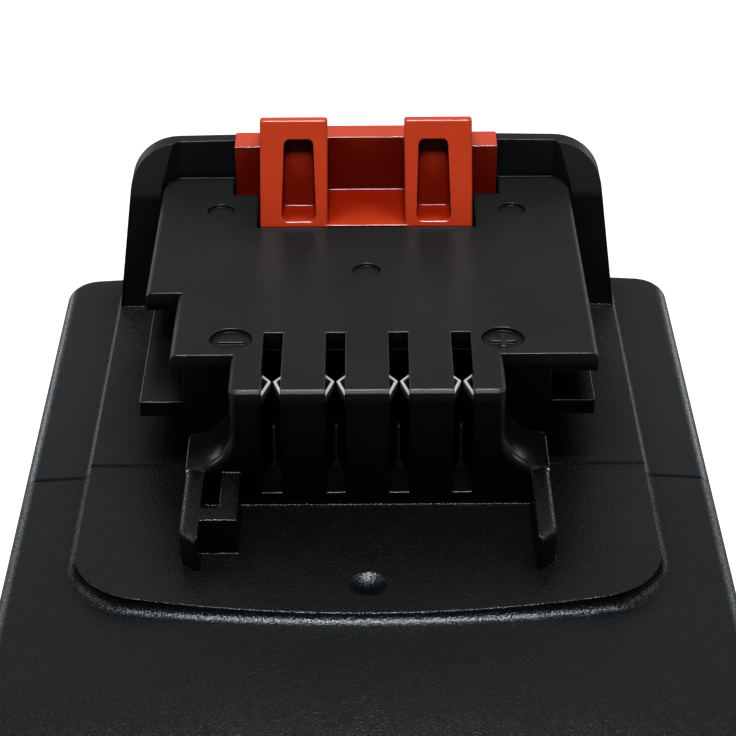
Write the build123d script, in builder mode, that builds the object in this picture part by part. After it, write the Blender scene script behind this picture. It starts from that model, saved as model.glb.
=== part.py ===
"""Slide-on battery pack for a cordless tool, five cells in one row.

Millimetres. X runs across the pack, +Y towards the latch, +Z up.
The origin is the middle of the underside.
"""
from build123d import *
from math import asin, degrees, sqrt
import os

os.makedirs("parts", exist_ok=True)

# Cells, and the layers that set the height of the pack
cell_count = 5
cell_diameter = 18.4
cell_length = 65.0
cell_gap = 0.25
cell_button = 0.4
cell_button_diameter = 9.2
cell_groove_set = 3.1
wall = 2.3
foam_thickness = 0.8
holder_cap = 0.4
board_thickness = 1.2
board_headroom = 2.6

# Room between the cells and the walls
side_space = 4.7
front_space = 10.2
rear_space = 6.2

# Fits
fit_gap = 0.15
slide_gap = 0.3
overrun = 5.0

# Housing outline and crowned top
rear_corner = 4.0
front_corner = 12.0
nose_bow = 4.5
rim_round = 1.8
foot_round = 2.4
crown_radius = 600.0
crown_drop = 0.85
nose_radius = 100.0
nose_setback = 33.0
split_height = 14.0
lip_height = 1.4
lip_thickness = 1.1

# Raised platform
plinth_margin = 7.9
plinth_reach = 19.3
plinth_bow = 4.2
plinth_corner = 8.5
plinth_rear_corner = 0.35
foot_fillet = 1.2
edge_break = 0.35
level_share = 0.001

# Witness line of the mould, and the round dimple in front of the tower
witness_set = 7.8
witness_width = 0.16
witness_depth = 0.12
dimple_set = 14.4
dimple_diameter = 4.0
dimple_depth = 0.8

# Terminal tower
tower_length = 50.6
tower_height = 14.9
tower_corner = 1.0
core_half = 20.5
plate_half = 25.7
plate_set = 7.55
plate_thickness = 2.3
plate_round = 0.9
plate_bevel_side = 1.6
plate_bevel_rear = 2.3
flange_half = 25.6
flange_set = 8.2
flange_rise = 6.5
flange_thickness = 1.85
notch_depth = 3.8
notch_end = 21.3

# Flared feet of the tower
foot_rise = 4.4
foot_half = 20.1
leg_width = 2.1
leg_reach = 12.3
leg_bevel = 1.7
leg_round = 1.3
leg_shoulder = 0.8
key_post_width = 2.0
key_gap = 2.0
key_reach = 8.9
key_bar = 2.2

# Terminal slots and the leaf contacts behind them
contact_count = 4
contact_pitch = 7.0
slot_width = 2.2
slot_length = 12.3
slot_sill = 1.6
rib_width = 1.2
leaf_thickness = 0.35
leaf_pinch = 0.12
leaf_flare = 1.0
leaf_half = 1.5
leaf_room = 0.35
leaf_tip_set = 3.0
leaf_pinch_set = 5.8
leaf_back_set = 7.7
leaf_end_set = 13.5
contact_top_drop = 2.4
leaf_foot_rise = 7.0
carrier_set = 9.2
carrier_length = 6.5
carrier_height = 6.0
carrier_gap = 0.1

# Round marks sunk in the top plate
pin_mark_diameter = 3.4
pin_mark_depth = 0.35
pin_mark_side = 18.0
pin_mark_rear_set = 9.0
pin_mark_front_set = 11.0
polarity_diameter = 4.9
polarity_side = 15.2
polarity_set = 10.8
polarity_depth = 0.45
polarity_bar = 2.8
polarity_stroke = 0.6
polarity_rise = 0.3

# Arched wall behind the latch
collar_height = 20.3
collar_arm = 6.9
collar_draft = 2.4
collar_corner = 6.3
collar_crown = 0.4
collar_round = 0.7
collar_rear_set = 2.1
collar_lean = 6.5
panel_side = 23.8

# Latch
hook_inner = 4.7
hook_outer = 13.0
hook_reach = 9.6
hook_top_set = 2.7
hook_land = 0.9
hook_rise = 11.0
hook_root = 9.0
pocket_outer = 10.4
pocket_inner = 6.1
pocket_taper = 0.35
pocket_floor = 0.5
pocket_drop = 2.0
pocket_depth = 4.6
pocket_back = 0.3
pocket_round = 0.7
hook_round = 0.35
web_thickness = 3.3
web_rise = 7.4
shelf_rise = 0.15
shelf_thickness = 2.2
web_root = 20.9
wing_side = 16.3
wing_front = 0.8
wing_rise_left = 4.3
wing_rise_right = 6.5
latch_travel = 5.5
latch_side_gap = 0.4
pad_half = 12.4
pad_height = 8.6
pad_proud = 0.7
pad_rib_count = 3
pad_rib = 0.5
pad_round = 0.8
spring_pad_height = 2.2
spring_pad_depth = 4.5

# Latch springs
spring_side = 11.0
spring_diameter = 4.8
spring_wire = 0.6
spring_length = 13.0
spring_turns = 6
spring_seat = 5.4
spring_pin = 3.0
spring_pin_height = 2.5

# Cell holders, nickel strips and side insulation
holder_width = 8.0
holder_end = 0.2
holder_bevel = 4.0
holder_bore_gap = 0.05
strip_thickness = 0.2
strip_width = 8.0
strip_end = 4.6
tab_width = 4.0
tab_reach = 2.4
insulator_thickness = 0.2
insulator_drop = 0.8
locator_width = 1.6
locator_gap = 0.3

# Circuit board and what it carries
board_tab_gap = 2.0
board_rear_gap = 2.0
board_side_gap = 0.3
board_corner = 1.5
switch_length = 10.0
switch_width = 6.6
switch_height = 1.9
controller_side = 7.0
controller_height = 1.1
capacitor_diameter = 5.0
capacitor_height = 8.0
capacitor_side = 10.0
fuse_length = 9.0
fuse_width = 3.2
fuse_height = 2.2
fuse_cap = 1.6
bead_diameter = 2.8
bead_length = 4.0
bead_lead = 0.7
lead_width = 3.0
lead_thickness = 0.6
lead_side = 29.5

# Screws
boss_diameter = 6.0
boss_foot_diameter = 7.4
boss_side = 30.0
boss_front_space = 7.6
boss_rear_space = 5.1
screw_head = 4.6
screw_head_height = 1.9
screw_head_depth = 4.4
screw_shank = 2.9
screw_length = 13.0
screw_socket = 2.6
screw_socket_depth = 1.2
board_screw_head = 4.0
board_screw_head_height = 1.2
board_screw_shank = 2.0
board_screw_length = 4.4

# Label on the underside
label_length = 62.0
label_width = 40.0
label_corner = 3.0
label_recess = 0.35
label_thickness = 0.2

# Places worked out from the sizes
cell_pitch = cell_diameter + cell_gap
cell_row = cell_count * cell_pitch - cell_gap
base_width = cell_length + 2 * (side_space + wall)
base_length = cell_row + front_space + rear_space + 2 * wall
half_width = base_width / 2
plinth_half = half_width - plinth_margin
rear_y = base_length / 2
front_y = -rear_y
row_front = front_y + wall + front_space
cell_axis_z = wall + foam_thickness + cell_diameter / 2
cell_places = [row_front + cell_diameter / 2 + i * cell_pitch for i in range(cell_count)]
board_low = wall + foam_thickness + cell_diameter + holder_cap
board_top = board_low + board_thickness
roof = board_top + board_headroom
plinth_top = roof + wall
crown_top = plinth_top - crown_drop
nose_start = front_y + nose_setback
tower_top = plinth_top + tower_height
plate_low = tower_top - plate_thickness
collar_rear = rear_y - collar_rear_set
panel_front = collar_rear - wall
collar_front = panel_front - collar_arm
tower_front = panel_front - tower_length
plinth_front = tower_front - plinth_reach
notch_y = tower_front + notch_end
web_rear = panel_front - slide_gap
web_front = web_rear - web_thickness
hook_front = web_front - hook_reach
web_bottom = tower_top - web_root
hook_top_y = web_front - hook_top_set
spring_y = web_front + spring_diameter / 2
spring_low = web_bottom - spring_length
board_front = (cell_places[0] + cell_places[1] + tab_width) / 2 + board_tab_gap
board_rear = web_front - board_rear_gap
leaf_low = board_top + leaf_foot_rise
carrier_rear = tower_front + carrier_set + carrier_length
component_y = (carrier_rear + hook_front) / 2
contact_top = tower_top - contact_top_drop
shaft_half = wing_side + latch_side_gap
inner_side = cell_length / 2
contact_reach = (contact_count - 1) / 2 * contact_pitch + leaf_half + leaf_thickness
tower_half = contact_reach + leaf_room + wall


def block(low, high, mode=Mode.ADD):
    """A box between two opposite corners, added to or cut from the part in hand."""
    with Locations(low):
        Box(*(b - a for a, b in zip(low, high)), align=(Align.MIN,) * 3, mode=mode)


def bowed_outline(side, rear, front, bow, rear_radius, front_radius):
    """Plan with straight sides and a front edge that bows forward."""
    with BuildSketch() as plan:
        with BuildLine():
            Polyline((-side, front + bow), (-side, rear), (side, rear), (side, front + bow))
            ThreePointArc((side, front + bow), (0, front), (-side, front + bow))
        make_face()
        fillet(plan.vertices().group_by(Axis.Y)[-1], rear_radius)
        fillet(plan.vertices().group_by(Axis.Y)[0], front_radius)
    return plan.sketch


def housing_outline(inset):
    """Plan of the pack, moved in from its outside by inset."""
    return bowed_outline(
        half_width - inset,
        rear_y - inset,
        front_y + inset,
        nose_bow,
        rear_corner - inset,
        front_corner - inset,
    )


def plinth_outline(inset):
    """Plan of the raised platform, moved in from its outside by inset."""
    return bowed_outline(
        plinth_half - inset,
        collar_rear - inset,
        plinth_front + inset,
        plinth_bow,
        plinth_rear_corner,
        plinth_corner - inset,
    )


def space_over_crown(inset):
    """The air above the crowned top and the falling nose."""
    crest = crown_top - inset
    reach = half_width + overrun
    radius = crown_radius - inset
    edge = crest - (radius - sqrt(radius**2 - reach**2))
    ceiling = crest + nose_bow + 2 * overrun
    bend = nose_radius - inset
    sweep = degrees(asin((nose_setback + overrun) / bend))
    with BuildPart() as air:
        with BuildSketch(Plane.XZ.offset(-nose_start)) as section:
            with BuildLine():
                ThreePointArc((-reach, edge), (0, crest), (reach, edge))
                Polyline((reach, edge), (reach, ceiling), (-reach, ceiling), (-reach, edge))
            make_face()
        extrude(amount=nose_start - rear_y - overrun)
        revolve(section.sketch, Axis((0, nose_start, crest - bend), (1, 0, 0)), sweep)
    return air.part


def upper_block(inset, low):
    """The upper half of the pack as a solid, moved in from its outside by inset."""
    with BuildPart() as body:
        with BuildSketch(Plane.XY.offset(low)):
            add(housing_outline(inset))
        extrude(amount=crown_top + overrun - low)
        add(space_over_crown(inset), mode=Mode.SUBTRACT)
    return body.part


def upright(edge):
    """Whether an edge climbs more than it runs."""
    return abs((edge % 0.5).Z) > abs((edge % 0.5).X) + abs((edge % 0.5).Y)


def top_edges_of_walls(part, low, high):
    """Edges between the upright walls of a part and its top, from low to high."""
    walls = [face for face in part.faces() if abs(face.normal_at().Z) < level_share]
    edges = ShapeList(edge for face in walls for edge in face.edges())
    return edges.filter_by(lambda edge: low < edge.center().Z < high and not upright(edge))


def collar_arch():
    """The arched wall behind the latch, leaning back, with a flat panel in the middle."""
    foot = plinth_top - wall
    crest = plinth_top + collar_height
    shoulder = plinth_half - collar_draft
    side = flange_half + slide_gap
    bevel = panel_front - (side - panel_side)
    left_end = (-shoulder, crest - collar_crown)
    right_end = (shoulder, crest - collar_crown)
    with BuildPart() as arch:
        with BuildSketch(Plane.XZ.offset(-collar_front)) as front:
            with BuildLine():
                Polyline(
                    left_end,
                    (-plinth_half, plinth_top),
                    (-plinth_half, foot),
                    (plinth_half, foot),
                    (plinth_half, plinth_top),
                    right_end,
                )
                ThreePointArc(right_end, (0, crest), left_end)
            make_face()
            fillet(front.vertices().group_by(Axis.Y)[-1], collar_corner)
        extrude(amount=collar_front - collar_rear)
        with BuildSketch(Plane.YZ):
            with BuildLine():
                Polyline(
                    (collar_front, plinth_top),
                    (collar_front + collar_lean, crest),
                    (collar_front + collar_lean, crest + overrun),
                    (collar_front - overrun, crest + overrun),
                    (collar_front - overrun, plinth_top),
                    close=True,
                )
            make_face()
        extrude(amount=half_width, both=True, mode=Mode.SUBTRACT)
        with BuildSketch(Plane.XY.offset(plinth_top)):
            with BuildLine():
                Polyline(
                    (-side, collar_front - overrun),
                    (-side, bevel),
                    (-panel_side, panel_front),
                    (panel_side, panel_front),
                    (side, bevel),
                    (side, collar_front - overrun),
                    close=True,
                )
            make_face()
        extrude(amount=collar_height + overrun, mode=Mode.SUBTRACT)
        rim = arch.edges().filter_by(lambda edge: edge.center().Z > crest - collar_corner)
        back = rim.filter_by(lambda edge: abs(edge.center().Y - collar_rear) < fit_gap)
        fillet(back, collar_round)
    return arch.part


def flared_foot():
    """Front section of the tower: straight above, sweeping out to the legs below."""
    low = plinth_top - wall / 2
    toe = plinth_top + foot_rise
    flare = foot_half - tower_half
    knee = toe + flare
    with BuildPart() as foot:
        with BuildSketch(Plane.XZ.offset(-tower_front)):
            with BuildLine():
                Line((tower_half, tower_top), (tower_half, knee))
                RadiusArc((tower_half, knee), (foot_half, toe), -flare)
                Polyline((foot_half, toe), (foot_half, low), (-foot_half, low), (-foot_half, toe))
                RadiusArc((-foot_half, toe), (-tower_half, knee), -flare)
                Line((-tower_half, knee), (-tower_half, tower_top))
                Line((-tower_half, tower_top), (tower_half, tower_top))
            make_face()
        extrude(amount=-flange_set)
        face = foot.faces().sort_by(Axis.Y)[0]
        corners = face.edges().filter_by(lambda edge: toe < edge.center().Z < tower_top)
        fillet(corners, tower_corner)
        crown = foot.faces().sort_by(Axis.Z)[-1].edges()
        front = crown.filter_by(lambda edge: edge.center().Y < tower_front + tower_corner)
        chamfer(front, edge_break)
    return foot.part


def leg(sign):
    """One low rail running forward from the tower, with a bevelled nose and a round shoulder."""
    outer = sign * foot_half
    inner = sign * (foot_half - leg_width)
    nose = tower_front - leg_reach
    with BuildPart() as rail:
        with BuildSketch(Plane.XY.offset(plinth_top - wall / 2)) as plan:
            with BuildLine():
                Polyline(
                    (inner, tower_front + flange_set),
                    (outer, tower_front + flange_set),
                    (outer, nose + leg_bevel),
                    (inner + sign * edge_break, nose),
                    (inner, nose + edge_break),
                    close=True,
                )
            make_face()
            bend = plan.vertices().sort_by(lambda point: abs(point.X))[-2:].sort_by(Axis.Y)[0]
            fillet(bend, leg_round)
        extrude(amount=foot_rise + wall / 2)
        edges = rail.faces().sort_by(Axis.Z)[-1].edges()
        rear = tower_front + flange_set - fit_gap
        outside = edges.filter_by(
            lambda edge: abs(edge.center().X) > abs(inner) + edge_break and edge.center().Y < rear
        )
        fillet(outside, leg_shoulder)
    return rail.part


def tower_body():
    """The terminal tower with its rails, before it is hollowed."""
    low = plinth_top - wall / 2
    core_front = tower_front + plate_set
    flange_low = plinth_top + flange_rise
    notch_side = plate_half - notch_depth
    with BuildPart() as tower:
        add(flared_foot())
        block((-core_half, core_front, low), (core_half, panel_front, plate_low))
        block(
            (-flange_half, tower_front + flange_set, flange_low),
            (flange_half, panel_front, flange_low + flange_thickness),
        )
        with BuildSketch(Plane.XY.offset(plate_low)):
            with BuildLine():
                Polyline(
                    (-notch_side, core_front),
                    (plate_half, core_front),
                    (plate_half, panel_front - plate_bevel_rear),
                    (plate_half - plate_bevel_side, panel_front),
                    (plate_bevel_side - plate_half, panel_front),
                    (-plate_half, panel_front - plate_bevel_rear),
                    (-plate_half, notch_y),
                    (-notch_side, notch_y),
                    close=True,
                )
            make_face()
        extrude(amount=plate_thickness)
        sides = tower.edges().filter_by(Axis.Y).filter_by(
            lambda edge: edge.center().Z > tower_top - fit_gap and abs(edge.center().X) > core_half
        )
        fillet(sides, plate_round)
        add(leg(1))
        add(leg(-1))
        post_side = foot_half - leg_width - key_gap
        post_inner = post_side - key_post_width
        key_front = tower_front - key_reach
        key_top = plinth_top + foot_rise
        block((-post_side, key_front, low), (-post_inner, tower_front, key_top))
        block((leg_width - foot_half, key_front, low), (-post_side, key_front + key_bar, key_top))
    return tower.part


def contact_places():
    """Where the contacts stand across the tower."""
    return [(i - (contact_count - 1) / 2) * contact_pitch for i in range(contact_count)]


def tower_hollow():
    """Everything taken out of the tower: chamber, latch shaft and terminal slots."""
    inner_half = core_half - wall
    chamber_top = tower_top - plate_thickness
    sill = plinth_top + slot_sill
    with BuildPart() as hollow:
        block(
            (wall - tower_half, tower_front + wall, roof - overrun),
            (tower_half - wall, tower_front + flange_set + wall, chamber_top),
        )
        block(
            (-inner_half, tower_front + flange_set + wall, roof - overrun),
            (inner_half, web_front - slide_gap, chamber_top),
        )
        block(
            (-shaft_half, web_front - wing_front - slide_gap, roof - overrun),
            (shaft_half, panel_front, tower_top + overrun),
        )
        block(
            (-hook_outer - latch_side_gap, hook_front - slide_gap, roof),
            (hook_outer + latch_side_gap, web_front, tower_top + overrun),
        )
        for place in contact_places():
            block(
                (place - slot_width / 2, tower_front - overrun, sill),
                (place + slot_width / 2, tower_front + slot_length, tower_top + overrun),
            )
    return hollow.part


def rear_window():
    """Opening in the arched wall that the thumb pad reaches through."""
    low = tower_top - pad_height - latch_travel - slide_gap
    with BuildPart() as window:
        block(
            (-pad_half - latch_side_gap, panel_front - wall, low),
            (pad_half + latch_side_gap, rear_y + overrun, tower_top + slide_gap),
        )
        fillet(window.edges().filter_by(Axis.Y), pad_round)
    return window.part


def boss_places():
    """Where the four housing screws stand."""
    rear = rear_y - boss_rear_space
    front = front_y + boss_front_space
    return [(-boss_side, front), (boss_side, front), (-boss_side, rear), (boss_side, rear)]


def witness_line():
    """The fine step that the mould leaves across the platform and its surround."""
    line_y = tower_front + witness_set
    clear = plinth_half + foot_fillet
    with BuildPart() as groove:
        for low, high in ((-half_width - overrun, -clear), (clear, half_width + overrun)):
            block(
                (low, line_y - witness_width / 2, split_height),
                (high, line_y + witness_width / 2, plinth_top),
            )
        add(space_over_crown(witness_depth), mode=Mode.INTERSECT)
        block(
            (-plinth_half - overrun, line_y - witness_width / 2, plinth_top - witness_depth),
            (plinth_half + overrun, line_y + witness_width / 2, plinth_top + overrun),
        )
    return groove.part


def round_marks():
    """The dimple before the tower and the round marks sunk in the top plate."""
    ball = (dimple_diameter**2 / 4 + dimple_depth**2) / (2 * dimple_depth)
    pins = [
        (-pin_mark_side, panel_front - pin_mark_rear_set),
        (pin_mark_side, panel_front - pin_mark_rear_set),
        (0, hook_front - pin_mark_front_set),
    ]
    rings = [(side, tower_front + polarity_set) for side in (-polarity_side, polarity_side)]
    with BuildPart() as marks:
        with Locations((0, tower_front - dimple_set, plinth_top - dimple_depth + ball)):
            Sphere(ball)
        with BuildSketch(Plane.XY.offset(tower_top - pin_mark_depth)):
            with Locations(pins):
                Circle(pin_mark_diameter / 2)
        extrude(amount=pin_mark_depth + overrun)
        with BuildSketch(Plane.XY.offset(tower_top - polarity_depth)):
            with Locations(rings):
                Circle(polarity_diameter / 2)
        extrude(amount=polarity_depth + overrun)
        with BuildSketch(Plane.XY.offset(tower_top - polarity_depth)):
            with Locations(rings):
                Rectangle(polarity_bar, polarity_stroke)
            with Locations(rings[1]):
                Rectangle(polarity_stroke, polarity_bar)
        extrude(amount=polarity_rise, mode=Mode.SUBTRACT)
    return marks.part


def upper_bosses():
    """Bosses that hang from the roof of the upper housing over the screws."""
    with BuildPart() as bosses:
        with BuildSketch(Plane.XY.offset(split_height)):
            with Locations(boss_places()):
                Circle(boss_diameter / 2)
        extrude(amount=crown_top - split_height)
        add(upper_block(wall / 2, split_height), mode=Mode.INTERSECT)
        with BuildSketch(Plane.XY.offset(split_height)):
            with Locations(boss_places()):
                Circle(screw_shank / 2)
        extrude(amount=screw_head_depth + screw_length + fit_gap - split_height, mode=Mode.SUBTRACT)
    return bosses.part


with BuildPart() as upper_housing:
    add(upper_block(0, split_height))
    with BuildSketch(Plane.XY.offset(roof - wall)):
        add(plinth_outline(0))
    extrude(amount=2 * wall)
    walls = top_edges_of_walls(upper_housing.part, split_height + lip_height, plinth_top - edge_break)
    near = walls.filter_by(
        lambda edge: abs(edge.center().X) < plinth_half + fit_gap
        and plinth_front - fit_gap < edge.center().Y < collar_rear - fit_gap
    )
    fillet(near, foot_fillet)
    walls = top_edges_of_walls(upper_housing.part, split_height + lip_height, plinth_top - edge_break)
    rim = walls.filter_by(
        lambda edge: abs(edge.center().X) > plinth_half + foot_fillet
        or edge.center().Y < plinth_front - foot_fillet
        or edge.center().Y > collar_rear + fit_gap
    )
    fillet(rim, rim_round)
    add(witness_line(), mode=Mode.SUBTRACT)
    add(upper_block(wall, split_height), mode=Mode.SUBTRACT)
    with BuildSketch(Plane.XY.offset(split_height)):
        add(plinth_outline(wall))
    extrude(amount=roof - split_height, mode=Mode.SUBTRACT)
    add(upper_bosses())
    with BuildSketch(Plane.XY.offset(split_height)):
        add(housing_outline(wall - lip_thickness - fit_gap))
        add(housing_outline(wall + fit_gap), mode=Mode.SUBTRACT)
    extrude(amount=lip_height + fit_gap, mode=Mode.SUBTRACT)
    add(collar_arch())
    add(tower_body())
    add(tower_hollow(), mode=Mode.SUBTRACT)
    add(rear_window(), mode=Mode.SUBTRACT)
    add(round_marks(), mode=Mode.SUBTRACT)
    for left, right in zip(contact_places(), contact_places()[1:]):
        middle = (left + right) / 2
        block(
            (middle - rib_width / 2, tower_front + wall / 2, plinth_top + slot_sill),
            (middle + rib_width / 2, tower_front + slot_length, plate_low + plate_thickness / 2),
        )
upper_housing.part.label = "upper_housing"


def locator_ribs():
    """Upright ribs that keep the cell block centred between the side walls."""
    reach = inner_side + strip_thickness + insulator_thickness + locator_gap
    outside = half_width - wall / 2
    rib_top = split_height - lip_height
    for cell_y in cell_places[1:]:
        rib_front = cell_y - (cell_pitch + locator_width) / 2
        for low, high in ((-outside, -reach), (reach, outside)):
            block((low, rib_front, wall / 2), (high, rib_front + locator_width, rib_top))


with BuildPart() as lower_housing:
    with BuildSketch():
        add(housing_outline(0))
    extrude(amount=split_height)
    fillet(lower_housing.faces().sort_by(Axis.Z)[0].edges(), foot_round)
    with BuildSketch(Plane.XY.offset(split_height)):
        add(housing_outline(wall - lip_thickness))
    extrude(amount=lip_height)
    with BuildSketch(Plane.XY.offset(wall)):
        add(housing_outline(wall))
    extrude(amount=split_height + lip_height - wall, mode=Mode.SUBTRACT)
    locator_ribs()
    with BuildSketch(Plane.XY.offset(wall / 2)):
        with Locations(boss_places()):
            Circle(boss_foot_diameter / 2)
    extrude(amount=screw_head_depth)
    with BuildSketch(Plane.XY.offset(wall / 2)):
        with Locations(boss_places()):
            Circle(boss_diameter / 2)
    extrude(amount=split_height - wall / 2)
    with Locations([(x, y, 0) for x, y in boss_places()]):
        Cylinder(
            screw_head / 2 + fit_gap,
            screw_head_depth,
            align=(Align.CENTER, Align.CENTER, Align.MIN),
            mode=Mode.SUBTRACT,
        )
        Cylinder(
            screw_shank / 2 + fit_gap,
            split_height,
            align=(Align.CENTER, Align.CENTER, Align.MIN),
            mode=Mode.SUBTRACT,
        )
    with Locations([(x, spring_y, wall / 2) for x in (-spring_side, spring_side)]):
        seat_height = spring_low - wall / 2
        Cylinder(spring_seat / 2, seat_height, align=(Align.CENTER, Align.CENTER, Align.MIN))
        pin_height = seat_height + spring_pin_height
        Cylinder(spring_pin / 2, pin_height, align=(Align.CENTER, Align.CENTER, Align.MIN))
    with BuildSketch():
        RectangleRounded(label_width, label_length, label_corner)
    extrude(amount=label_recess, mode=Mode.SUBTRACT)
lower_housing.part.label = "lower_housing"


def hook_pocket(sign):
    """Hollow in the sloping face of a hook, with a rear wall that leans back."""
    inner = sign * pocket_inner
    outer = sign * pocket_outer
    taper = sign * pocket_taper
    low = tower_top + pocket_floor
    high = tower_top + hook_rise - pocket_drop
    with BuildPart() as pocket:
        with BuildSketch(Plane.XZ.offset(-hook_front + overrun)) as mouth:
            with BuildLine():
                Polyline(
                    (inner, low), (outer, low), (outer - taper, high), (inner + taper, high), close=True
                )
            make_face()
            fillet(mouth.vertices(), pocket_round)
        extrude(amount=-overrun - hook_reach)
        with BuildSketch(Plane.YZ):
            with BuildLine():
                Polyline(
                    (hook_front + pocket_depth, low - overrun),
                    (hook_front + pocket_depth, low),
                    (hook_top_y - pocket_back, high),
                    (hook_top_y - pocket_back, high + overrun),
                    (web_rear + overrun, high + overrun),
                    (web_rear + overrun, low - overrun),
                    close=True,
                )
            make_face()
        extrude(amount=wing_side, both=True, mode=Mode.SUBTRACT)
    return pocket.part


with BuildPart() as latch:
    block((-hook_outer, web_front, web_bottom), (hook_outer, web_rear, tower_top + web_rise))
    for sign, rise in ((-1, wing_rise_left), (1, wing_rise_right)):
        edges = sorted((sign * hook_inner, sign * wing_side))
        block(
            (edges[0], web_front - wing_front, web_bottom),
            (edges[1], web_rear, tower_top + rise),
        )
    with BuildSketch(Plane.YZ.offset(hook_inner)) as side:
        with BuildLine():
            Polyline(
                (hook_front, tower_top - hook_root),
                (hook_front, tower_top),
                (hook_top_y, tower_top + hook_rise),
                (hook_top_y + hook_land, tower_top + hook_rise),
                (hook_top_y + hook_land, tower_top + web_rise),
                (web_front + web_thickness / 2, tower_top + web_rise),
                (web_front + web_thickness / 2, tower_top - hook_root),
                close=True,
            )
        make_face()
    extrude(amount=hook_outer - hook_inner)
    mirror(about=Plane.YZ)
    block(
        (-hook_inner, hook_front, tower_top + shelf_rise - shelf_thickness),
        (hook_inner, web_rear, tower_top + shelf_rise),
    )
    edges_of_hooks = latch.edges().filter_by(
        lambda edge: edge.center().Z > tower_top + shelf_rise
        and edge.center().Y < hook_top_y + hook_land
        and abs(edge.center().X) > hook_inner - fit_gap
    )
    fillet(edges_of_hooks, hook_round)
    add(hook_pocket(1), mode=Mode.SUBTRACT)
    add(hook_pocket(-1), mode=Mode.SUBTRACT)
    pad_low = tower_top - pad_height
    with BuildSketch(Plane.XZ.offset(-web_rear)):
        with Locations((0, pad_low + pad_height / 2)):
            RectangleRounded(2 * pad_half, pad_height, pad_round)
    extrude(amount=web_rear - collar_rear - pad_proud)
    for i in range(pad_rib_count):
        rib_z = pad_low + pad_height * (i + 1) / (pad_rib_count + 1)
        block(
            (-pad_half + pad_round, web_rear, rib_z - pad_rib / 2),
            (pad_half - pad_round, collar_rear + pad_proud + pad_rib, rib_z + pad_rib / 2),
        )
    for x in (-spring_side, spring_side):
        block(
            (x - spring_diameter / 2, web_front, web_bottom),
            (x + spring_diameter / 2, web_front + spring_pad_depth, web_bottom + spring_pad_height),
        )
    with Locations([(x, spring_y, web_bottom) for x in (-spring_side, spring_side)]):
        Cylinder(spring_pin / 2, spring_pin_height, align=(Align.CENTER, Align.CENTER, Align.MAX))
latch.part.label = "latch"


def coil_spring(x):
    """One coil spring under the latch, standing on its seat."""
    coil_radius = (spring_diameter - spring_wire) / 2
    height = spring_length - spring_wire
    foot = (x, spring_y, spring_low + spring_wire / 2)
    with BuildPart() as spring:
        with BuildLine():
            turns = Helix(height / spring_turns, height, coil_radius, center=foot)
        with BuildSketch(Plane(origin=turns @ 0, z_dir=turns % 0)):
            Circle(spring_wire / 2)
        sweep(path=turns)
    return spring.part


def cell(index):
    """One round cell lying across the pack, with its button and crimp groove."""
    sign = 1 if index % 2 == 0 else -1
    end_plane = Plane.YZ.offset(-sign * inner_side)
    with BuildPart() as body:
        with BuildSketch(end_plane):
            with Locations((cell_places[index], cell_axis_z)):
                Circle(cell_diameter / 2)
        extrude(amount=sign * (cell_length - cell_button))
        with BuildSketch(end_plane):
            with Locations((cell_places[index], cell_axis_z)):
                Circle(cell_button_diameter / 2)
        extrude(amount=sign * cell_length)
        groove_x = sign * (inner_side - cell_groove_set)
        with BuildSketch(Plane.YZ.offset(groove_x)):
            with Locations((cell_places[index], cell_axis_z)):
                Circle(cell_diameter / 2 + overrun)
                Circle(cell_diameter / 2 - cell_button, mode=Mode.SUBTRACT)
        extrude(amount=cell_button, both=True, mode=Mode.SUBTRACT)
    return body.part


def board_screw_places():
    """Where the screws of the circuit board stand, over the gaps between cells."""
    ys = [cell_places[2] + cell_pitch / 2, cell_places[3] + cell_pitch / 2]
    x = inner_side - holder_width + board_screw_head / 2
    return [(-x, ys[0]), (x, ys[0]), (-x, ys[1]), (x, ys[1])]


def holder(sign):
    """Frame that carries the ends of the cells and the circuit board on its top."""
    row_rear = row_front + cell_row
    with BuildPart() as frame:
        with BuildSketch(Plane.YZ.offset(sign * (inner_side - holder_width))) as side:
            with Locations(((row_front + row_rear) / 2, (wall + board_low) / 2)):
                Rectangle(cell_row + 2 * holder_end, board_low - wall)
            chamfer(side.vertices(), holder_bevel)
            with Locations([(y, cell_axis_z) for y in cell_places]):
                Circle(cell_diameter / 2 + holder_bore_gap, mode=Mode.SUBTRACT)
        extrude(amount=sign * holder_width)
        with Locations([(x, y, board_low) for x, y in board_screw_places() if x * sign > 0]):
            Cylinder(
                board_screw_shank / 2,
                board_screw_length + fit_gap - board_thickness,
                align=(Align.CENTER, Align.CENTER, Align.MAX),
                mode=Mode.SUBTRACT,
            )
    return frame.part


def strip(sign, cells):
    """Nickel strip across the ends of one or two cells, with a tab folded inward."""
    first = cell_places[cells[0]] - strip_end
    last = cell_places[cells[-1]] + strip_end
    middle = (first + last) / 2
    fold = board_top if middle > board_front else board_low
    outside = sign * (inner_side + strip_thickness)
    inside = sign * inner_side
    reach = sign * (inner_side - tab_reach)
    with BuildPart() as metal:
        block(
            (min(inside, outside), first, cell_axis_z - strip_width / 2),
            (max(inside, outside), last, cell_axis_z + strip_width / 2),
        )
        block(
            (min(inside, outside), middle - tab_width / 2, cell_axis_z),
            (max(inside, outside), middle + tab_width / 2, fold + strip_thickness),
        )
        block(
            (min(reach, outside), middle - tab_width / 2, fold),
            (max(reach, outside), middle + tab_width / 2, fold + strip_thickness),
        )
    return metal.part


def insulator(sign):
    """Thin sheet between the nickel strips and the side wall."""
    near = sign * (inner_side + strip_thickness)
    far = sign * (inner_side + strip_thickness + insulator_thickness)
    with BuildPart() as sheet:
        block(
            (min(near, far), row_front, wall + insulator_drop),
            (max(near, far), row_front + cell_row, board_low - insulator_drop),
        )
    return sheet.part


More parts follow.
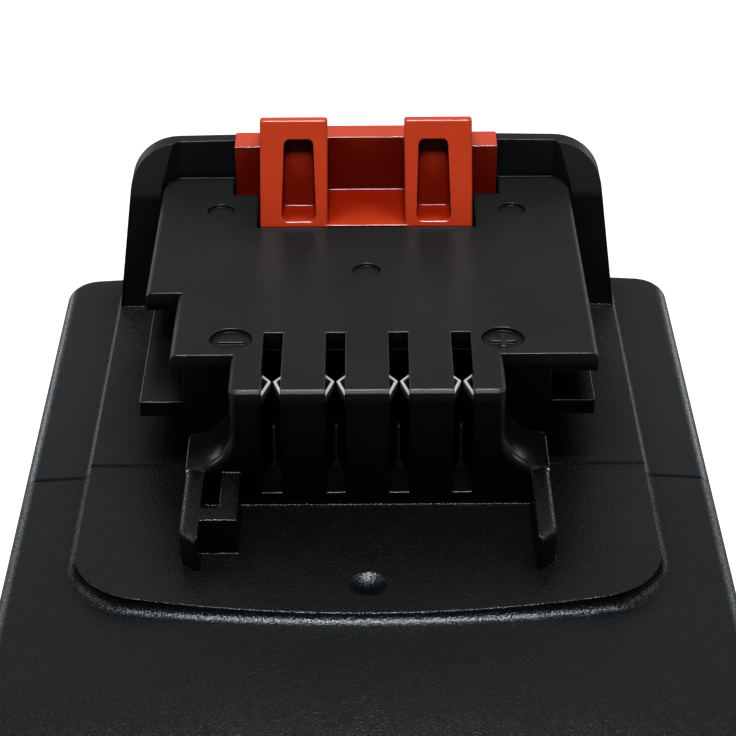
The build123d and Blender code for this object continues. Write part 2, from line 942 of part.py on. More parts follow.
def leaf_contact(x):
    """One terminal: two sprung leaves that pinch a blade between them, on a bridged foot."""
    with BuildPart() as contact:
        for sign in (-1, 1):
            with BuildSketch(Plane.XY.offset(leaf_low)):
                with BuildLine():
                    inner = [
                        (x + sign * leaf_flare, tower_front + leaf_tip_set),
                        (x + sign * leaf_pinch, tower_front + leaf_pinch_set),
                        (x + sign * leaf_half, tower_front + leaf_back_set),
                        (x + sign * leaf_half, tower_front + leaf_end_set),
                    ]
                    outer = [(px + sign * leaf_thickness, py) for px, py in reversed(inner)]
                    Polyline(*inner, *outer, close=True)
                make_face()
            extrude(amount=contact_top - leaf_low)
            sides = sorted((x + sign * leaf_half, x + sign * (leaf_half + leaf_thickness)))
            block(
                (sides[0], tower_front + carrier_set, board_top),
                (sides[1], tower_front + leaf_end_set, leaf_low),
            )
        block(
            (x - leaf_half, tower_front + carrier_set, board_top),
            (x + leaf_half, tower_front + leaf_end_set, board_top + 2 * leaf_thickness),
        )
    return contact.part


with BuildPart() as contact_carrier:
    carrier_half = tower_half - wall - slide_gap
    carrier_front = tower_front + carrier_set
    block(
        (-carrier_half, carrier_front, board_top),
        (carrier_half, carrier_rear, board_top + carrier_height),
    )
    for x in contact_places():
        reach = leaf_half + leaf_thickness + carrier_gap
        block(
            (x - reach, carrier_front - overrun, board_top - overrun),
            (x + reach, tower_front + leaf_end_set + carrier_gap, board_top + carrier_height + overrun),
            mode=Mode.SUBTRACT,
        )
contact_carrier.part.label = "contact_carrier"

with BuildPart() as circuit_board:
    with BuildSketch(Plane.XY.offset(board_low)):
        with Locations((0, (board_front + board_rear) / 2)):
            RectangleRounded(2 * (inner_side - board_side_gap), board_rear - board_front, board_corner)
        with Locations(board_screw_places()):
            Circle(board_screw_shank / 2 + fit_gap, mode=Mode.SUBTRACT)
    extrude(amount=board_thickness)
circuit_board.part.label = "circuit_board"

with BuildPart() as board_components:
    chip_x = plinth_half - wall - slide_gap - switch_length / 2
    for chip_y in (cell_places[2], cell_places[3]):
        block(
            (chip_x - switch_length / 2, chip_y - switch_width / 2, board_top),
            (chip_x + switch_length / 2, chip_y + switch_width / 2, board_top + switch_height),
        )
    block(
        (-controller_side / 2, component_y - controller_side / 2, board_top),
        (controller_side / 2, component_y + controller_side / 2, board_top + controller_height),
    )
    with Locations([(x, component_y, board_top) for x in (-capacitor_side, capacitor_side)]):
        Cylinder(capacitor_diameter / 2, capacitor_height, align=(Align.CENTER, Align.CENTER, Align.MIN))
board_components.part.label = "board_components"

with BuildPart() as fuse:
    fuse_y = cell_places[2]
    block(
        (-chip_x - fuse_length / 2, fuse_y - fuse_width / 2, board_top),
        (-chip_x + fuse_length / 2, fuse_y + fuse_width / 2, board_top + fuse_height),
    )
    middle = fuse_length / 2 - fuse_cap
    block(
        (-chip_x - middle, fuse_y - fuse_width, board_top + fuse_height - fit_gap),
        (-chip_x + middle, fuse_y + fuse_width, board_top + fuse_height + fit_gap),
        mode=Mode.SUBTRACT,
    )
fuse.part.label = "fuse"

with BuildPart() as thermistor:
    bead_y = cell_places[2] + cell_pitch / 2
    reach = cell_diameter / 2 + bead_diameter / 2
    bead_z = cell_axis_z + sqrt(reach**2 - (cell_pitch / 2) ** 2)
    with BuildSketch(Plane.YZ):
        with Locations((bead_y, bead_z)):
            Circle(bead_diameter / 2)
    extrude(amount=bead_length / 2, both=True)
    with Locations((0, bead_y, bead_z)):
        Cylinder(bead_lead / 2, board_low - bead_z, align=(Align.CENTER, Align.CENTER, Align.MIN))
thermistor.part.label = "thermistor"

with BuildPart() as battery_lead:
    lead_low = board_low + strip_thickness
    block(
        (lead_side - lead_width / 2, cell_places[0], lead_low),
        (lead_side + lead_width / 2, board_front, lead_low + lead_thickness),
    )
battery_lead.part.label = "battery_lead"

with BuildPart() as foam_pad:
    pad_side = inner_side - holder_width - slide_gap
    block((-pad_side, row_front, wall), (pad_side, row_front + cell_row, wall + foam_thickness))
foam_pad.part.label = "foam_pad"

with BuildPart() as housing_screws:
    for x, y in boss_places():
        with Locations((x, y, screw_head_depth)):
            Cylinder(screw_head / 2, screw_head_height, align=(Align.CENTER, Align.CENTER, Align.MAX))
            Cylinder(screw_shank / 2, screw_length, align=(Align.CENTER, Align.CENTER, Align.MIN))
    with BuildSketch(Plane.XY.offset(screw_head_depth - screw_head_height)):
        with Locations(boss_places()):
            RegularPolygon(screw_socket / 2, 6)
    extrude(amount=screw_socket_depth, mode=Mode.SUBTRACT)
housing_screws.part.label = "housing_screws"

with BuildPart() as board_screws:
    for x, y in board_screw_places():
        with Locations((x, y, board_top)):
            Cylinder(
                board_screw_head / 2, board_screw_head_height, align=(Align.CENTER, Align.CENTER, Align.MIN)
            )
            Cylinder(
                board_screw_shank / 2, board_screw_length, align=(Align.CENTER, Align.CENTER, Align.MAX)
            )
board_screws.part.label = "board_screws"

with BuildPart() as rating_label:
    with BuildSketch(Plane.XY.offset(label_recess - label_thickness)):
        RectangleRounded(label_width - 2 * fit_gap, label_length - 2 * fit_gap, label_corner - fit_gap)
    extrude(amount=label_thickness)
rating_label.part.label = "rating_label"

pieces = [
    upper_housing.part,
    lower_housing.part,
    latch.part,
    contact_carrier.part,
    circuit_board.part,
    board_components.part,
    fuse.part,
    thermistor.part,
    battery_lead.part,
    foam_pad.part,
    housing_screws.part,
    board_screws.part,
    rating_label.part,
]


def keep(piece, name):
    """Name a piece and add it to the pieces that are written."""
    piece.label = name
    pieces.append(piece)


for index in range(cell_count):
    keep(cell(index), f"cell_{index + 1}")
for index, x in enumerate(contact_places()):
    keep(leaf_contact(x), f"contact_{index + 1}")
cells = list(range(cell_count))
left_groups = [cells[:1]] + [cells[i : i + 2] for i in range(1, cell_count, 2)]
right_groups = [cells[i : i + 2] for i in range(0, cell_count, 2)]
for side, sign, groups in (("left", -1, left_groups), ("right", 1, right_groups)):
    keep(coil_spring(sign * spring_side), f"latch_spring_{side}")
    keep(holder(sign), f"cell_holder_{side}")
    keep(insulator(sign), f"insulator_{side}")
    for number, group in enumerate(groups):
        keep(strip(sign, group), f"nickel_strip_{side}_{number + 1}")

for piece in pieces:
    export_step(piece, f"parts/{piece.label}.step")
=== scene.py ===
"""Looks of the slide-on battery pack: materials, light and the photograph's camera."""

import math

import bpy
from mathutils import Euler, Matrix, Vector

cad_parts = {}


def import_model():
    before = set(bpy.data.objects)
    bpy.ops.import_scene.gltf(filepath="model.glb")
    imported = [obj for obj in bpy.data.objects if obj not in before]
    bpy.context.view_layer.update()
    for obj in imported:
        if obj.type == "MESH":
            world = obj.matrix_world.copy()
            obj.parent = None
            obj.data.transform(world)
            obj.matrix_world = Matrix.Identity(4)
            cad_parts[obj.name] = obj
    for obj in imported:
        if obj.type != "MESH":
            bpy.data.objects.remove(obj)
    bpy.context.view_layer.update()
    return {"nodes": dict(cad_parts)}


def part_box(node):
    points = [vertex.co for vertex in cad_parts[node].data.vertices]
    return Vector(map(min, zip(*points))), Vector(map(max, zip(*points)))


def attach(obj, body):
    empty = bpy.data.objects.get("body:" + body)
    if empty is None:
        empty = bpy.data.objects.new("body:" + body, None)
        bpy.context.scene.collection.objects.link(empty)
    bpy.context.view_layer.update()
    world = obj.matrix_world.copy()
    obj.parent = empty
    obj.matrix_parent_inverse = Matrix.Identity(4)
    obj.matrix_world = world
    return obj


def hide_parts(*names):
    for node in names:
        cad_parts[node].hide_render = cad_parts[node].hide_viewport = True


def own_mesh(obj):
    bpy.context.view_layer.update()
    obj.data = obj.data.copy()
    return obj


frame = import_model()
nodes = frame["nodes"]

MM = 0.001

# Camera of the photograph: its pitch, roll, field of view and place in the row frame
CAMERA_PITCH = math.radians(32.03)
CAMERA_ROLL = math.radians(0.32)
CAMERA_PLACE = Vector((0.1, -191.5, 166.9)) * MM
CAMERA_LENS = 104.6
SENSOR_WIDTH = 36.0
CLIP_START = 5 * MM

# Colours, linear
WHITE = (1.0, 1.0, 1.0, 1)
PLASTIC_DEEP = (0.0009, 0.001, 0.0012, 1)
PLASTIC_PALE = (0.0019, 0.0021, 0.0024, 1)
PLASTIC_SHEEN = (0.84, 0.93, 1.0, 1)
PLATE_DEEP = (0.0075, 0.0078, 0.0083, 1)
PLATE_PALE = (0.0095, 0.0098, 0.0104, 1)
LATCH_RED = (0.41, 0.036, 0.0098, 1)
LATCH_DEEP = (0.385, 0.032, 0.0086, 1)
# painted shade in the latch's hollows
LATCH_PAINTED_SHADE = (0.15, 0.0056, 0.0008, 1)
# painted shade on the contact leaves down in their slots
CONTACT_PAINTED_SHADE = (0.03, 0.03, 0.03, 1)
CONTACT_BRIGHT = (0.92, 0.91, 0.88, 1)
CELL_WRAP_DEEP = (0.03, 0.17, 0.3, 1)
CELL_WRAP_PALE = (0.05, 0.22, 0.36, 1)
CELL_BARE = (0.6, 0.58, 0.54, 1)
BOARD_DEEP = (0.003, 0.03, 0.011, 1)
BOARD_PALE = (0.005, 0.052, 0.017, 1)

# Places on the pack that a finish follows
WITNESS_Y = 9.8 * MM
LEG_ROOT_Y = 2.0 * MM
SIDE_EDGE_X = 38.6 * MM
PLATFORM_FOOT_X = 32.1 * MM
PLATFORM_TOP = 28.4 * MM
DIMPLE_PLACE = Vector((0, -12.4, 28.3)) * MM
PLATE_LOW = 41.2 * MM
PLATE_TOP = 42.2 * MM
CONTACT_TOP = 40.4 * MM
CONTACT_FADE = 1.2 * MM
CELL_END = 31.7 * MM

# How softly one finish turns into the next
LEVEL_FADE = 0.3 * MM
LEG_FADE = 1.0 * MM
GRAIN_FADE = 0.2 * MM
WITNESS_LINE = (0.2 * MM, 0.5 * MM)
FOOT_LINE = (0.8 * MM, 1.4 * MM)
SIDE_EDGE_FADE = 0.6 * MM
DIMPLE_SPAN = (1.2 * MM, 1.9 * MM)

# Rounded edges: their radius, and how far the normal turns from a flat to the edge itself
EDGE_RADIUS = 0.22 * MM
EDGE_SAMPLES = 6
EDGE_TURN = (0.999, 0.9)

# Housing grain: noise as (scale, detail, roughness), and its depth
GRAIN_NOISE = (3900, 2, 0.6)
FINE_NOISE = (6400, 2, 0.5)
CLOUD_NOISE = (90, 4, 0.6)
SMEAR_NOISE = (400, 5, 0.6)
GRAIN_DEPTH = 0.15 * MM
GRAIN_STRENGTH = 0.6
GRAIN_REAR_SHARE = 0.45
GRAIN_HIGH_SHARE = 0.1
FINE_SHARE = 0.12
CLOUD_SPAN = (0.35, 0.7)
SPARKLE_SPAN = (0.35, 0.65)
NOISE_SPAN = (0.3, 0.7)

# Housing roughness and gloss
HOUSING_ROUGH = (0.27, 0.31)
SPARKLE_ROUGH = (-0.12, 0.1)
PLATE_ROUGH = 0.16
EDGE_SMOOTH = 0.08
HOUSING_GLOSS = 0.27
PLATE_GLOSS = 0.1
WITNESS_GLOSS_SHARE = 0.3
EDGE_GLOSS = 0.26
SLOPE_SPAN = (0.985, 0.85)
SLOPE_GLOSS = 0.45
SIDE_EDGE_GLOSS = 1.1
DIMPLE_GLOSS_SHARE = 0.3

# Painted shade in corners: how far it reaches, and the span of openness over which it fades
SHADE_SAMPLES = 6
MARK_SHADE_REACH = 0.9 * MM
MARK_SHADE_SPAN = (0.55, 0.95)
FOOT_SHADE_REACH = 14 * MM
FOOT_SHADE_SPAN = (0.6, 0.92)
FOOT_SHADE_SHARE = 0.3

# Latch
LATCH_CLOUD_NOISE = (260, 4, 0.6)
LATCH_SMEAR_NOISE = (700, 5, 0.6)
LATCH_SKIN_NOISE = (1500, 3, 0.5)
LATCH_SHADE_REACH = 12 * MM
LATCH_SHADE_SPAN = (0.5, 0.88)
LATCH_SHADE_SAMPLES = 8
LATCH_ROUGH = (0.2, 0.27)
LATCH_GLOSS = (0.08, 0.28)
LATCH_EDGE_GLOSS = 0.62
LATCH_SKIN_DEPTH = 0.01 * MM

# Metals, wraps and the other plain surfaces
CONTACT_NOISE = (1800, 4, 0.6)
CONTACT_ROUGH = (0.22, 0.38)
CONTACT_SCRATCH = 0.08
CELL_CLOUD_NOISE = (240, 4, 0.6)
SKIN_NOISE = (1800, 3, 0.5)
SHEEN_NOISE = (900, 4, 0.6)
CELL_ROUGH = (0.25, 0.36)
TRACK_SCALE = 420
TRACK_SPAN = (0.3, 0.36)
TRACK_DEPTH = 0.03 * MM
TRACK_STRENGTH = 0.5
BOARD_ROUGH = (0.3, 0.4)
SKIN_DEPTH = 0.02 * MM
SKIN_STRENGTH = 0.4
MOTTLE_NOISE = (225, 4, 0.6)
MOTTLE_SHARE = 0.25
ROUGH_SPREAD = 0.15

# Latch springs: wire, turns with the two closed end turns, and the coil's steps per turn and sides
SPRING_WIRE = 0.6 * MM
SPRING_TURNS = 8
SPRING_STEPS = 28
SPRING_SIDES = 10

# Floor: its reach, and how its own white grows away from the pack
FLOOR_REACH = 6.0
FLOOR_PALE = (0.42, 0.42, 0.42, 1)
FLOOR_DIM = (0.14, 0.14, 0.14, 1)
FLOOR_GLOW = (0.76, 1.0)
FLOOR_GLOW_SPAN = (0.25, 1.2)

# Studio: the soft wall's rise over the horizon, its span and its strength
SOFT_WALL_RISE = math.radians(40)
SOFT_WALL_SPAN = (0.7, 0.97)
SOFT_WALL_LIGHT = (0.03, 0.52)

# Lamps: name, place, target, size in metres, power in watts
LAMPS = (
    ("key", (0, -0.07, 0.67), (0, 0.02, 0.03), 0.12, 6.3),
    ("left", (-0.55, 0.05, 0.25), (0, 0.02, 0.03), 0.2, 0.35),
    ("right", (0.55, 0.05, 0.25), (0, 0.02, 0.03), 0.2, 0.35),
    ("left_rim", (-0.47, 0.62, 0.07), (0, 0, 0.03), 0.2, 0.28),
    ("right_rim", (0.47, 0.62, 0.07), (0, 0, 0.03), 0.2, 0.28),
)


class Graph:
    """A small helper for building a node tree."""

    def __init__(self, name):
        self.material = bpy.data.materials.new(name)
        self.material.use_nodes = True
        self.tree = self.material.node_tree
        self.tree.nodes.clear()
        self.output = self.add("ShaderNodeOutputMaterial")
        self.place = self.add("ShaderNodeTexCoord").outputs["Object"]

    def add(self, kind, inputs=None, **settings):
        node = self.tree.nodes.new(kind)
        for key, value in settings.items():
            setattr(node, key, value)
        for key, value in (inputs or {}).items():
            self.feed(node.inputs[key], value)
        return node

    def feed(self, socket, value):
        """Link a socket, or set its value."""
        if isinstance(value, bpy.types.NodeSocket):
            self.tree.links.new(value, socket)
        else:
            socket.default_value = value

    def axes(self, vector=None):
        """The X, Y and Z of a vector, or of the place on the pack."""
        return self.add("ShaderNodeSeparateXYZ", {"Vector": vector or self.place}).outputs

    def math(self, operation, first, second=0.0):
        node = self.add("ShaderNodeMath", operation=operation)
        self.feed(node.inputs[0], first)
        self.feed(node.inputs[1], second)
        return node.outputs[0]

    def plus(self, first, second):
        return self.math("ADD", first, second)

    def times(self, first, second):
        return self.math("MULTIPLY", first, second)

    def distance(self, first, second):
        return self.math("ABSOLUTE", self.math("SUBTRACT", first, second))

    def noise(self, kind):
        scale, detail, roughness = kind
        inputs = {"Scale": scale, "Detail": detail, "Roughness": roughness, "Vector": self.place}
        return self.add("ShaderNodeTexNoise", inputs).outputs["Fac"]

    def spread(self, value, span, to=(0.0, 1.0)):
        """A value carried from one span to another, held at its ends."""
        inputs = {"Value": value, "From Min": span[0], "From Max": span[1]}
        inputs.update({"To Min": to[0], "To Max": to[1]})
        return self.add("ShaderNodeMapRange", inputs).outputs["Result"]

    def blend(self, factor, first, second):
        node = self.add("ShaderNodeMix", data_type="RGBA")
        factor_socket, first_socket, second_socket = (node.inputs[index] for index in (0, 6, 7))
        self.feed(factor_socket, factor)
        self.feed(first_socket, first)
        self.feed(second_socket, second)
        return node.outputs[2]

    def bump(self, height, distance, strength=SKIN_STRENGTH, normal=None):
        inputs = {"Height": height, "Distance": distance, "Strength": strength}
        if normal is not None:
            inputs["Normal"] = normal
        return self.add("ShaderNodeBump", inputs).outputs["Normal"]

    def bevel(self):
        node = self.add("ShaderNodeBevel", {"Radius": EDGE_RADIUS}, samples=EDGE_SAMPLES)
        return node.outputs["Normal"]

    def openness(self, reach, span, to=(0.0, 1.0), samples=SHADE_SAMPLES):
        """How open the surroundings of a point are within a reach."""
        node = self.add("ShaderNodeAmbientOcclusion", {"Distance": reach}, samples=samples)
        return self.spread(node.outputs["AO"], span, to)

    def edge_share(self, rounded):
        """How far a point lies on a rounded edge, from 0 on flats to 1 on the edge itself."""
        flat = self.add("ShaderNodeNewGeometry").outputs["Normal"]
        match = self.add("ShaderNodeVectorMath", operation="DOT_PRODUCT")
        self.feed(match.inputs[0], flat)
        self.feed(match.inputs[1], rounded)
        return self.spread(match.outputs["Value"], EDGE_TURN)

    def finish(self, **inputs):
        """Close the material with a principled shader; underscores stand for spaces."""
        named = {key.replace("_", " "): value for key, value in inputs.items()}
        shader = self.add("ShaderNodeBsdfPrincipled", named)
        self.feed(self.output.inputs["Surface"], shader.outputs[0])
        return self.material


def grain_zone(graph, y, z):
    """1 before the witness line, on the surround, the platform and the legs, less behind it."""
    low = graph.spread(z, (PLATFORM_TOP, PLATFORM_TOP + LEVEL_FADE), (1.0, 0.0))
    legs = graph.spread(y, (LEG_ROOT_Y - LEG_FADE, LEG_ROOT_Y), (1.0, 0.0))
    front = graph.spread(y, (WITNESS_Y, WITNESS_Y + GRAIN_FADE), (1.0, GRAIN_REAR_SHARE))
    return graph.times(graph.math("MAXIMUM", low, legs), front)


def witness_share(graph, y, z):
    """0 on the witness line of the surround and platform, 1 away from it."""
    away = graph.spread(graph.distance(y, WITNESS_Y), WITNESS_LINE)
    high = graph.spread(z, (PLATFORM_TOP, PLATFORM_TOP + LEVEL_FADE))
    return graph.math("MAXIMUM", away, high)


def housing_colour(graph, plate):
    """Black with a slight cloud; the top plate is a little paler, with painted shade darkening it round
    its marks.
    """
    cloud = graph.spread(graph.noise(CLOUD_NOISE), CLOUD_SPAN)
    deep = graph.blend(cloud, PLASTIC_DEEP, PLASTIC_PALE)
    matt = graph.blend(cloud, PLATE_DEEP, PLATE_PALE)
    # painted shade: the plate colour turns to the deep black where its marks close a point in
    matt = graph.blend(graph.openness(MARK_SHADE_REACH, MARK_SHADE_SPAN), PLASTIC_DEEP, matt)
    return graph.blend(plate, deep, matt)


def housing_gloss(graph, plate, rounded, edge, witness):
    """Less in corners, in the dimple and on the witness line, more on slopes, edges and sides."""
    gloss = graph.spread(plate, (0, 1), (HOUSING_GLOSS, PLATE_GLOSS))
    gloss = graph.times(gloss, graph.spread(witness, (0, 1), (WITNESS_GLOSS_SHARE, 1)))
    gloss = graph.plus(gloss, graph.times(edge, EDGE_GLOSS))
    outward = graph.math("ABSOLUTE", graph.axes()["X"])
    slope = graph.spread(graph.axes(rounded)["Z"], SLOPE_SPAN, (0.0, SLOPE_GLOSS))
    foot_share = graph.spread(graph.distance(outward, PLATFORM_FOOT_X), FOOT_LINE)
    burnish = graph.times(graph.times(slope, witness), foot_share)
    side = graph.spread(outward, (SIDE_EDGE_X - SIDE_EDGE_FADE, SIDE_EDGE_X), (0.0, SIDE_EDGE_GLOSS))
    dimple = graph.add("ShaderNodeVectorMath", operation="DISTANCE")
    graph.feed(dimple.inputs[0], graph.place)
    graph.feed(dimple.inputs[1], DIMPLE_PLACE)
    dull = graph.spread(dimple.outputs["Value"], DIMPLE_SPAN, (DIMPLE_GLOSS_SHARE, 1.0))
    # painted shade: the gloss drops where the pack closes a point in, as near the tower's foot
    open_share = graph.openness(FOOT_SHADE_REACH, FOOT_SHADE_SPAN, (FOOT_SHADE_SHARE, 1.0))
    gloss = graph.times(graph.plus(gloss, burnish), graph.times(open_share, dull))
    return graph.plus(gloss, side)


def housing_material():
    """Black moulded plastic: spark-eroded grain in front of the witness line, finer behind it."""
    graph = Graph("housing_plastic")
    axes = graph.axes()
    zone = grain_zone(graph, axes["Y"], axes["Z"])
    witness = witness_share(graph, axes["Y"], axes["Z"])
    plate = graph.spread(axes["Z"], (PLATE_LOW, PLATE_TOP))
    grain = graph.noise(GRAIN_NOISE)
    height = graph.times(grain, graph.spread(zone, (0, 1), (GRAIN_HIGH_SHARE, 1.0)))
    height = graph.plus(height, graph.times(graph.noise(FINE_NOISE), FINE_SHARE))
    rounded = graph.bevel()
    edge = graph.times(graph.edge_share(rounded), witness)
    rough = graph.spread(graph.noise(SMEAR_NOISE), NOISE_SPAN, HOUSING_ROUGH)
    rough = graph.plus(rough, graph.times(zone, graph.spread(grain, SPARKLE_SPAN, SPARKLE_ROUGH)))
    rough = graph.plus(rough, graph.times(plate, PLATE_ROUGH))
    rough = graph.math("SUBTRACT", rough, graph.times(edge, EDGE_SMOOTH))
    return graph.finish(
        Base_Color=housing_colour(graph, plate),
        Roughness=rough,
        Normal=graph.bump(height, GRAIN_DEPTH, GRAIN_STRENGTH, rounded),
        Specular_IOR_Level=housing_gloss(graph, plate, rounded, edge, witness),
        Specular_Tint=graph.blend(plate, PLASTIC_SHEEN, WHITE),
    )


def latch_material():
    """Red-orange moulded plastic with a soft gloss; painted shade darkens its hollows and dims their
    gloss.
    """
    graph = Graph("latch_plastic")
    face = graph.blend(graph.spread(graph.noise(LATCH_CLOUD_NOISE), NOISE_SPAN), LATCH_RED, LATCH_DEEP)
    open_share = graph.openness(LATCH_SHADE_REACH, LATCH_SHADE_SPAN, samples=LATCH_SHADE_SAMPLES)
    rounded = graph.bevel()
    edge_gloss = graph.times(graph.edge_share(rounded), LATCH_EDGE_GLOSS)
    return graph.finish(
        # painted shade: the colour turns to dark red and the gloss drops where the latch's own walls
        # close a point in
        Base_Color=graph.blend(open_share, LATCH_PAINTED_SHADE, face),
        Roughness=graph.spread(graph.noise(LATCH_SMEAR_NOISE), NOISE_SPAN, LATCH_ROUGH),
        Normal=graph.bump(graph.noise(LATCH_SKIN_NOISE), LATCH_SKIN_DEPTH, normal=rounded),
        Specular_IOR_Level=graph.plus(graph.spread(open_share, (0, 1), LATCH_GLOSS), edge_gloss),
    )


def contact_material():
    """Bright tinned leaves; painted shade turns them dark and dull down in their slots."""
    graph = Graph("contact")
    rise = graph.spread(graph.axes()["Z"], (CONTACT_TOP - CONTACT_FADE, CONTACT_TOP))
    scratch = graph.noise(CONTACT_NOISE)
    rough = graph.spread(rise, (0, 1), CONTACT_ROUGH)
    return graph.finish(
        # painted shade: below the tops of the leaves the colour fades to dark
        Base_Color=graph.blend(rise, CONTACT_PAINTED_SHADE, CONTACT_BRIGHT),
        Roughness=graph.plus(rough, graph.times(scratch, CONTACT_SCRATCH)),
        Normal=graph.bump(scratch, SKIN_DEPTH),
        Metallic=1.0,
    )


def cell_material():
    """A cell: wrapped barrel and bare nickel-plated ends."""
    graph = Graph("cell")
    bare = graph.math("GREATER_THAN", graph.math("ABSOLUTE", graph.axes()["X"]), CELL_END)
    wrap = graph.blend(graph.noise(CELL_CLOUD_NOISE), CELL_WRAP_DEEP, CELL_WRAP_PALE)
    return graph.finish(
        Base_Color=graph.blend(bare, wrap, CELL_BARE),
        Roughness=graph.spread(graph.noise(SHEEN_NOISE), NOISE_SPAN, CELL_ROUGH),
        Normal=graph.bump(graph.noise(SKIN_NOISE), SKIN_DEPTH),
        Metallic=bare,
    )


def board_material():
    """Green solder mask over a net of copper tracks."""
    graph = Graph("board")
    inputs = {"Scale": TRACK_SCALE, "Vector": graph.place}
    tracks = graph.add("ShaderNodeTexVoronoi", inputs, feature="F1", distance="CHEBYCHEV")
    line = graph.spread(tracks.outputs["Distance"], TRACK_SPAN)
    return graph.finish(
        Base_Color=graph.blend(line, BOARD_DEEP, BOARD_PALE),
        Roughness=graph.spread(graph.noise(SHEEN_NOISE), NOISE_SPAN, BOARD_ROUGH),
        Normal=graph.bump(line, TRACK_DEPTH, TRACK_STRENGTH),
    )


def plain_material(name, colour, roughness, metallic):
    """A material with its own mottling, roughness variation and fine bump."""
    graph = Graph(name)
    dark = tuple(channel * (1 - MOTTLE_SHARE) for channel in colour[:3]) + (1,)
    rough_span = (roughness * (1 - ROUGH_SPREAD), roughness * (1 + ROUGH_SPREAD))
    return graph.finish(
        Base_Color=graph.blend(graph.spread(graph.noise(MOTTLE_NOISE), NOISE_SPAN), colour, dark),
        Roughness=graph.spread(graph.noise(SHEEN_NOISE), NOISE_SPAN, rough_span),
        Normal=graph.bump(graph.noise(SKIN_NOISE), SKIN_DEPTH),
        Metallic=metallic,
    )


# Plain materials: colour, roughness, metallic
PLAIN = {
    "nickel": ((0.62, 0.6, 0.55, 1), 0.3, 1.0),
    "steel": ((0.3, 0.3, 0.31, 1), 0.35, 1.0),
    "spring": ((0.55, 0.55, 0.56, 1), 0.25, 1.0),
    "holder": ((0.02, 0.02, 0.021, 1), 0.5, 0.0),
    "component": ((0.02, 0.02, 0.022, 1), 0.45, 0.0),
    "paper": ((0.62, 0.58, 0.5, 1), 0.8, 0.0),
    "foam": ((0.06, 0.06, 0.065, 1), 0.95, 0.0),
    "label": ((0.46, 0.47, 0.48, 1), 0.4, 0.0),
}
made = {name: plain_material(name, *values) for name, values in PLAIN.items()}
made["housing"] = housing_material()
made["latch"] = latch_material()
made["contact"] = contact_material()
made["cell"] = cell_material()
made["board"] = board_material()

# The material of each node, by the first name here that the node's name starts with
DRESS = (
    ("upper_housing", "housing"),
    ("lower_housing", "housing"),
    ("latch_spring", "spring"),
    ("latch", "latch"),
    ("contact_carrier", "holder"),
    ("contact", "contact"),
    ("cell_holder", "holder"),
    ("cell", "cell"),
    ("nickel", "nickel"),
    ("insulator", "paper"),
    ("housing_screws", "steel"),
    ("board_screws", "steel"),
    ("circuit_board", "board"),
    ("foam_pad", "foam"),
    ("rating_label", "label"),
)
for name, node in nodes.items():
    kind = next((kind for start, kind in DRESS if name.startswith(start)), "component")
    node.data.materials.clear()
    node.data.materials.append(made[kind])


def coil(name, node):
    """A latch spring with closed end turns."""
    low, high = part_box(node)
    middle = (low + high) / 2
    wire_radius = SPRING_WIRE / 2
    radius = (high.x - low.x - SPRING_WIRE) / 2
    length = high.z - low.z
    open_rise = (length - 3 * SPRING_WIRE) / (SPRING_TURNS - 2)
    steps = SPRING_STEPS * SPRING_TURNS
    points, faces = [], []
    for step in range(steps + 1):
        turn = SPRING_TURNS * step / steps
        end_turns = min(turn, 1) + max(turn - SPRING_TURNS + 1, 0)
        rise = end_turns * SPRING_WIRE + (turn - end_turns) * open_rise
        angle = math.tau * turn
        outward = Vector((math.cos(angle), math.sin(angle), 0))
        centre = Vector((middle.x, middle.y, low.z + wire_radius + rise)) + outward * radius
        for side in range(SPRING_SIDES):
            around = math.tau * side / SPRING_SIDES
            lift = Vector((0, 0, math.sin(around)))
            points.append(centre + (outward * math.cos(around) + lift) * wire_radius)
    for step in range(steps):
        here, after = step * SPRING_SIDES, (step + 1) * SPRING_SIDES
        for side in range(SPRING_SIDES):
            following = (side + 1) % SPRING_SIDES
            faces.append((here + side, after + side, after + following, here + following))
    faces.append(tuple(range(SPRING_SIDES)))
    faces.append(tuple(reversed(range(steps * SPRING_SIDES, (steps + 1) * SPRING_SIDES))))
    mesh = bpy.data.meshes.new(name)
    mesh.from_pydata(points, [], faces)
    mesh.polygons.foreach_set("use_smooth", [len(face) == 4 for face in faces])
    mesh.materials.append(made["spring"])
    piece = bpy.data.objects.new(name, mesh)
    bpy.context.scene.collection.objects.link(piece)
    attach(piece, "pack_body")
    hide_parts(node)
    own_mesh(piece)


coil("spring_coil_left", "latch_spring_left")
coil("spring_coil_right", "latch_spring_right")


def floor():
    """A wide white floor that keeps the soft shadow of the pack."""
    graph = Graph("floor_white")
    away = graph.add("ShaderNodeVectorMath", {"Vector": graph.place}, operation="LENGTH")
    strength = graph.spread(away.outputs["Value"], FLOOR_GLOW_SPAN, FLOOR_GLOW)
    pale = graph.add("ShaderNodeBsdfDiffuse", {"Color": FLOOR_PALE})
    glow = graph.add("ShaderNodeEmission", {"Color": WHITE, "Strength": strength})
    seen = graph.add("ShaderNodeAddShader")
    graph.feed(seen.inputs[0], pale.outputs[0])
    graph.feed(seen.inputs[1], glow.outputs[0])
    dim = graph.add("ShaderNodeBsdfDiffuse", {"Color": FLOOR_DIM})
    path = graph.add("ShaderNodeLightPath")
    mix = graph.add("ShaderNodeMixShader", {"Fac": path.outputs["Is Camera Ray"]})
    graph.feed(mix.inputs[1], dim.outputs[0])
    graph.feed(mix.inputs[2], seen.outputs[0])
    graph.feed(graph.output.inputs["Surface"], mix.outputs[0])
    mesh = bpy.data.meshes.new("floor")
    corners = [(x * FLOOR_REACH, y * FLOOR_REACH, 0) for x, y in ((-1, -1), (1, -1), (1, 1), (-1, 1))]
    mesh.from_pydata(corners, [], [(0, 1, 2, 3)])
    mesh.materials.append(graph.material)
    piece = bpy.data.objects.new("floor", mesh)
    bpy.context.scene.collection.objects.link(piece)


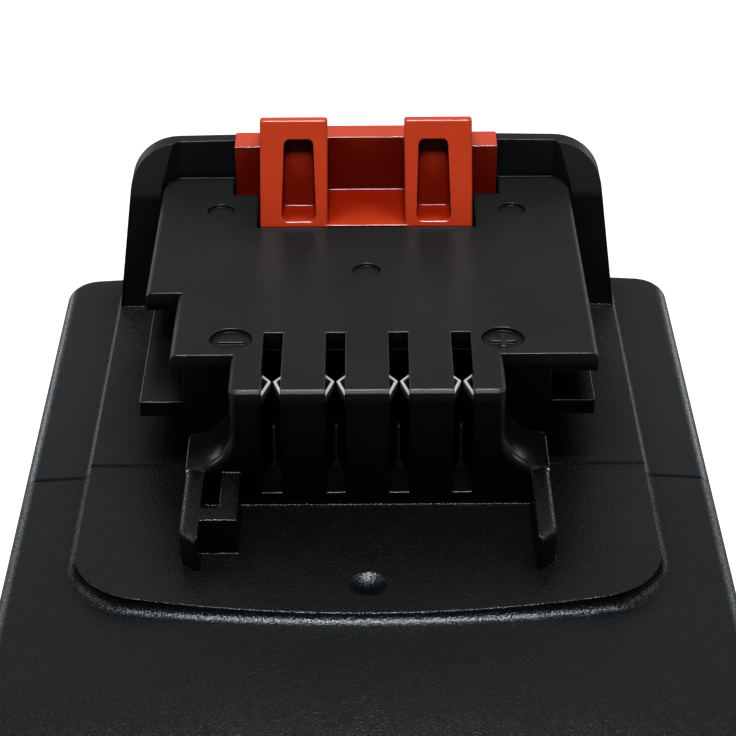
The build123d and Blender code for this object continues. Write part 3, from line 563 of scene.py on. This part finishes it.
def world():
    """A dim studio with one bright wall behind the pack; the camera sees plain white."""
    studio = bpy.data.worlds.new("studio")
    bpy.context.scene.world = studio
    studio.use_nodes = True
    tree = studio.node_tree
    tree.nodes.clear()
    link = tree.links.new
    output = tree.nodes.new("ShaderNodeOutputWorld")
    place = tree.nodes.new("ShaderNodeTexCoord")
    aim = tree.nodes.new("ShaderNodeVectorMath")
    aim.operation = "DOT_PRODUCT"
    link(place.outputs["Generated"], aim.inputs[0])
    aim.inputs[1].default_value = (0.0, math.cos(SOFT_WALL_RISE), math.sin(SOFT_WALL_RISE))
    wall = tree.nodes.new("ShaderNodeMapRange")
    wall.interpolation_type = "SMOOTHSTEP"
    link(aim.outputs["Value"], wall.inputs["Value"])
    ends = zip(("From Min", "From Max", "To Min", "To Max"), SOFT_WALL_SPAN + SOFT_WALL_LIGHT)
    for key, value in ends:
        wall.inputs[key].default_value = value
    studio_light = tree.nodes.new("ShaderNodeBackground")
    studio_light.inputs["Color"].default_value = WHITE
    link(wall.outputs[0], studio_light.inputs["Strength"])
    white = tree.nodes.new("ShaderNodeBackground")
    white.inputs["Color"].default_value = WHITE
    white.inputs["Strength"].default_value = 1.0
    path = tree.nodes.new("ShaderNodeLightPath")
    mix = tree.nodes.new("ShaderNodeMixShader")
    link(path.outputs["Is Camera Ray"], mix.inputs[0])
    link(studio_light.outputs[0], mix.inputs[1])
    link(white.outputs[0], mix.inputs[2])
    link(mix.outputs[0], output.inputs["Surface"])


def lamp(name, place, target, size, power):
    """A square soft box that faces its target."""
    data = bpy.data.lights.new(name, "AREA")
    data.shape = "SQUARE"
    data.size = size
    data.energy = power
    piece = bpy.data.objects.new(name, data)
    piece.location = place
    piece.rotation_euler = (Vector(target) - Vector(place)).to_track_quat("-Z", "Y").to_euler()
    bpy.context.scene.collection.objects.link(piece)


def camera():
    """The photograph's camera."""
    data = bpy.data.cameras.new("camera")
    data.lens = CAMERA_LENS
    data.sensor_width = SENSOR_WIDTH
    data.clip_start = CLIP_START
    piece = bpy.data.objects.new("camera", data)
    turn = Euler((math.pi / 2 - CAMERA_PITCH, 0, 0)).to_matrix().to_4x4()
    piece.matrix_world = Matrix.Translation(CAMERA_PLACE) @ turn @ Matrix.Rotation(-CAMERA_ROLL, 4, "Z")
    bpy.context.scene.collection.objects.link(piece)
    bpy.context.scene.camera = piece


floor()
world()
for values in LAMPS:
    lamp(*values)
camera()

bpy.context.scene.view_settings.view_transform = "Standard"
